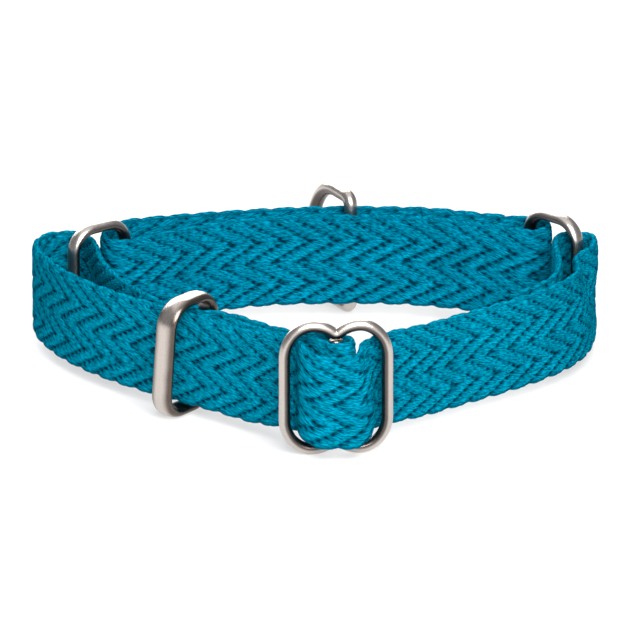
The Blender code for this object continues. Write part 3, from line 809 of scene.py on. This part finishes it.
def dring_outline():
    """Centre line of the D-ring from the foot of its bar round the bow; the bar is at along = 0."""
    low = DRING_WIRE / 2
    high = DRING_HEIGHT - low
    bow = (high - low) / 2
    turn = np.radians(np.linspace(0.0, 90.0, 12))
    foot = [(DRING_CORNER * (1 - math.sin(a)), low + DRING_CORNER * (1 - math.cos(a))) for a in turn]
    head = [(x, DRING_HEIGHT - z) for x, z in foot[::-1]]
    curve = [(DRING_LEG + DRING_BOW * math.sin(a), low + bow + bow * math.cos(a))
             for a in np.radians(np.linspace(0.0, 180.0, 48))]
    return foot[1:] + head[:-1] + curve


FLARE = ((1.25, 0.0), (1.2, 0.35), (1.08, 0.8), (1.0, 1.4))     # (radii, mm above the weld)
FLARE_HIGH = 2.0
BAR_TONE = 0.4


def centre_bar(name, at, low, high, diameter, material, around=32):
    """The slide's upright bar, flared into the weld at both notches."""
    radius = diameter / 2
    flare = [(radius * radii, up) for radii, up in FLARE]
    profile = [(r, low + up) for r, up in flare]
    profile += [(radius, z) for z in np.linspace(low + FLARE_HIGH, high - FLARE_HIGH, 40)]
    profile += [(r, high - up) for r, up in flare[::-1]]
    turn = TAU * np.arange(around) / around
    points = [(at[0] + r * math.cos(a), at[1] + r * math.sin(a), z) for r, z in profile for a in turn]
    rows = len(profile)
    i = np.arange(rows - 1)[:, None] * around
    j = np.arange(around)[None, :]
    k = (j + 1) % around
    quads = np.stack([i + j, i + k, i + around + k, i + around + j], axis=2).reshape(-1, 4)
    foot = list(range(around))[::-1]
    head = list(range((rows - 1) * around, rows * around))
    obj = mesh_object(name, to_row_frame(points), quads, (foot, head), material)
    set_painted_shading(obj, np.full(len(points), BAR_TONE))
    set_uv(obj, np.array([(z, r * a) for r, z in profile for a in turn]))
    return obj


# ---- the collar ----------------------------------------------------------------------------
def place(piece, body, node):
    """A piece moves with a body and stands in for a node of the solid model."""
    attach(piece, body)
    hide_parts(node)


# each triple: a painted deep shade, the dye colour and a painted highlight
MAIN_DYE_AND_PAINTED_LIGHT = ((0.0, 0.023, 0.045, 1), (0.0, 0.138, 0.222, 1), (0.0, 0.194, 0.296, 1))
# the control loop's colours are the main strap's darkened by about a tenth: painted shade on the loop at the
# back
LOOP_DYE_AND_PAINTED_LIGHT = ((0.0, 0.021, 0.042, 1), (0.0, 0.122, 0.203, 1), (0.0, 0.172, 0.272, 1))
THREAD_DYE = (0.0, 0.12, 0.195, 1)

place(webbing("main_strap_webbing", MAIN_ROUTE, MAIN_LOW, webbing_material("webbing_main", *MAIN_DYE_AND_PAINTED_LIGHT),
              main_strap_crease), "straps", "main_strap")
place(webbing("control_loop_webbing", LOOP_ROUTE, LOOP_LOW, webbing_material("webbing_loop", *LOOP_DYE_AND_PAINTED_LIGHT)),
      "straps", "control_loop_strap")

sewing = thread_material("sewing_thread", THREAD_DYE)
for node, route, lows, centre, length, side in (
        ("right_fold_needle_thread", MAIN_ROUTE, MAIN_LOW, (56.4, 45.9), END_SEAM_LENGTH, 1),
        ("right_fold_bobbin_thread", MAIN_ROUTE, MAIN_LOW, (54.1, 48.3), END_SEAM_LENGTH, 1),
        ("slide_end_needle_thread", MAIN_ROUTE, MAIN_LOW, (-16.5, 20.4), END_SEAM_LENGTH, 1),
        ("slide_end_bobbin_thread", MAIN_ROUTE, MAIN_LOW, (-13.5, 20.8), END_SEAM_LENGTH, 1),
        ("loop_lap_needle_thread", LOOP_ROUTE, LOOP_LOW, (39.3, 109.6), LAP_SEAM_LENGTH, 1),
        ("loop_lap_bobbin_thread", LOOP_ROUTE, LOOP_LOW, (38.6, 106.4), LAP_SEAM_LENGTH, -1)):
    place(stitches(node + "_stitches", route, lows, centre, length, side, sewing), "straps", node)

nickel = nickel_material("satin_nickel", (0.12, 0.10, 0.09, 1), (0.54, 0.485, 0.45, 1), 0.28)
nickel_warm = nickel_material("satin_nickel_warm", (0.12, 0.095, 0.08, 1), (0.56, 0.50, 0.46, 1), 0.27)
slide_line = slide_outline()
notch_face = slide_line[0][1] - SLIDE_WIRE / 2

# each wire's tone function paints light on its outer face and painted reflection and shade on its inner face
place(wire("slide_frame_wire", slide_line, SLIDE_YAW, SLIDE_AT, SLIDE_WIRE, SLIDE_WIRE, nickel,
           painted_light_outer_half), "slide", "slide_frame")
place(centre_bar("slide_centre_bar_rod", SLIDE_AT, SLIDE_HEIGHT - notch_face, notch_face, BAR_WIRE, nickel),
      "slide", "slide_centre_bar")
place(ring("keeper_ring_casting", KEEPER_YAW, KEEPER_AT, nickel_warm, painted_light_ridge, KEEPER_HEIGHT,
           KEEPER_AXIAL, KEEPER_LEAN), "keeper", "keeper_ring")
place(ring("left_end_ring_casting", LEFT_RING_YAW, LEFT_RING_AT, nickel, painted_light_crown),
      "left_ring", "left_end_ring")
place(ring("right_end_ring_casting", RIGHT_RING_YAW, RIGHT_RING_AT, nickel, painted_light_crown),
      "right_ring", "right_end_ring")
place(wire("leash_dring_wire", dring_outline(), DRING_YAW, DRING_AT, DRING_WIRE, DRING_WIRE, nickel,
           painted_light_outer_half), "dring", "leash_dring")

# ---- floor and light -----------------------------------------------------------------------
FLOOR = 4.0                                 # half its width, metres
FLOOR_GREY = (0.34, 0.34, 0.34, 1)
FLOOR_GLOW = 0.56
WORLD_COLOUR = (0.92, 0.94, 0.96, 1)
WORLD_STRENGTH = 0.30
LIGHTS = (                                  # name, place, size, power in watts
    ("front_top", (0.22, -1.25, 1.0), (0.9, 1.2), 56.0),
    ("back_fill", (-0.35, 1.3, 0.8), (1.6, 1.2), 30.0),
    ("overhead", (0.0, 0.05, 1.2), (1.4, 1.2), 4.0))
LIGHT_AIM = (0.0, 0.0, 0.015)

floor_mesh = bpy.data.meshes.new("studio_floor")
floor_mesh.from_pydata([(-FLOOR, -FLOOR, 0), (FLOOR, -FLOOR, 0), (FLOOR, FLOOR, 0), (-FLOOR, FLOOR, 0)],
                       [], [(0, 1, 2, 3)])
floor = bpy.data.objects.new("studio_floor", floor_mesh)
bpy.context.collection.objects.link(floor)
paper, _, paper_shader = node_tree("studio_paper")
paper_shader.inputs["Base Color"].default_value = FLOOR_GREY
paper_shader.inputs["Emission Color"].default_value = (1.0, 1.0, 1.0, 1)
paper_shader.inputs["Emission Strength"].default_value = FLOOR_GLOW
paper_shader.inputs["Roughness"].default_value = 0.9
paper_shader.inputs["Specular IOR Level"].default_value = 0.1
floor_mesh.materials.append(paper)


def softbox(name, at, size, power):
    """A rectangular light aimed at the collar."""
    data = bpy.data.lights.new(name, "AREA")
    data.shape = "RECTANGLE"
    data.size, data.size_y = size
    data.energy = power
    lamp = bpy.data.objects.new(name, data)
    lamp.location = at
    away = np.array(at) - np.array(LIGHT_AIM)
    yaw = math.atan2(away[0], -away[1])
    lamp.rotation_euler = (math.atan2(math.hypot(away[0], away[1]), away[2]), 0.0, yaw)
    bpy.context.collection.objects.link(lamp)


for light in LIGHTS:
    softbox(*light)
world = bpy.data.worlds.new("studio_world")
bpy.context.scene.world = world
world.use_nodes = True
sky = world.node_tree.nodes["Background"]
sky.inputs["Color"].default_value = WORLD_COLOUR
sky.inputs["Strength"].default_value = WORLD_STRENGTH
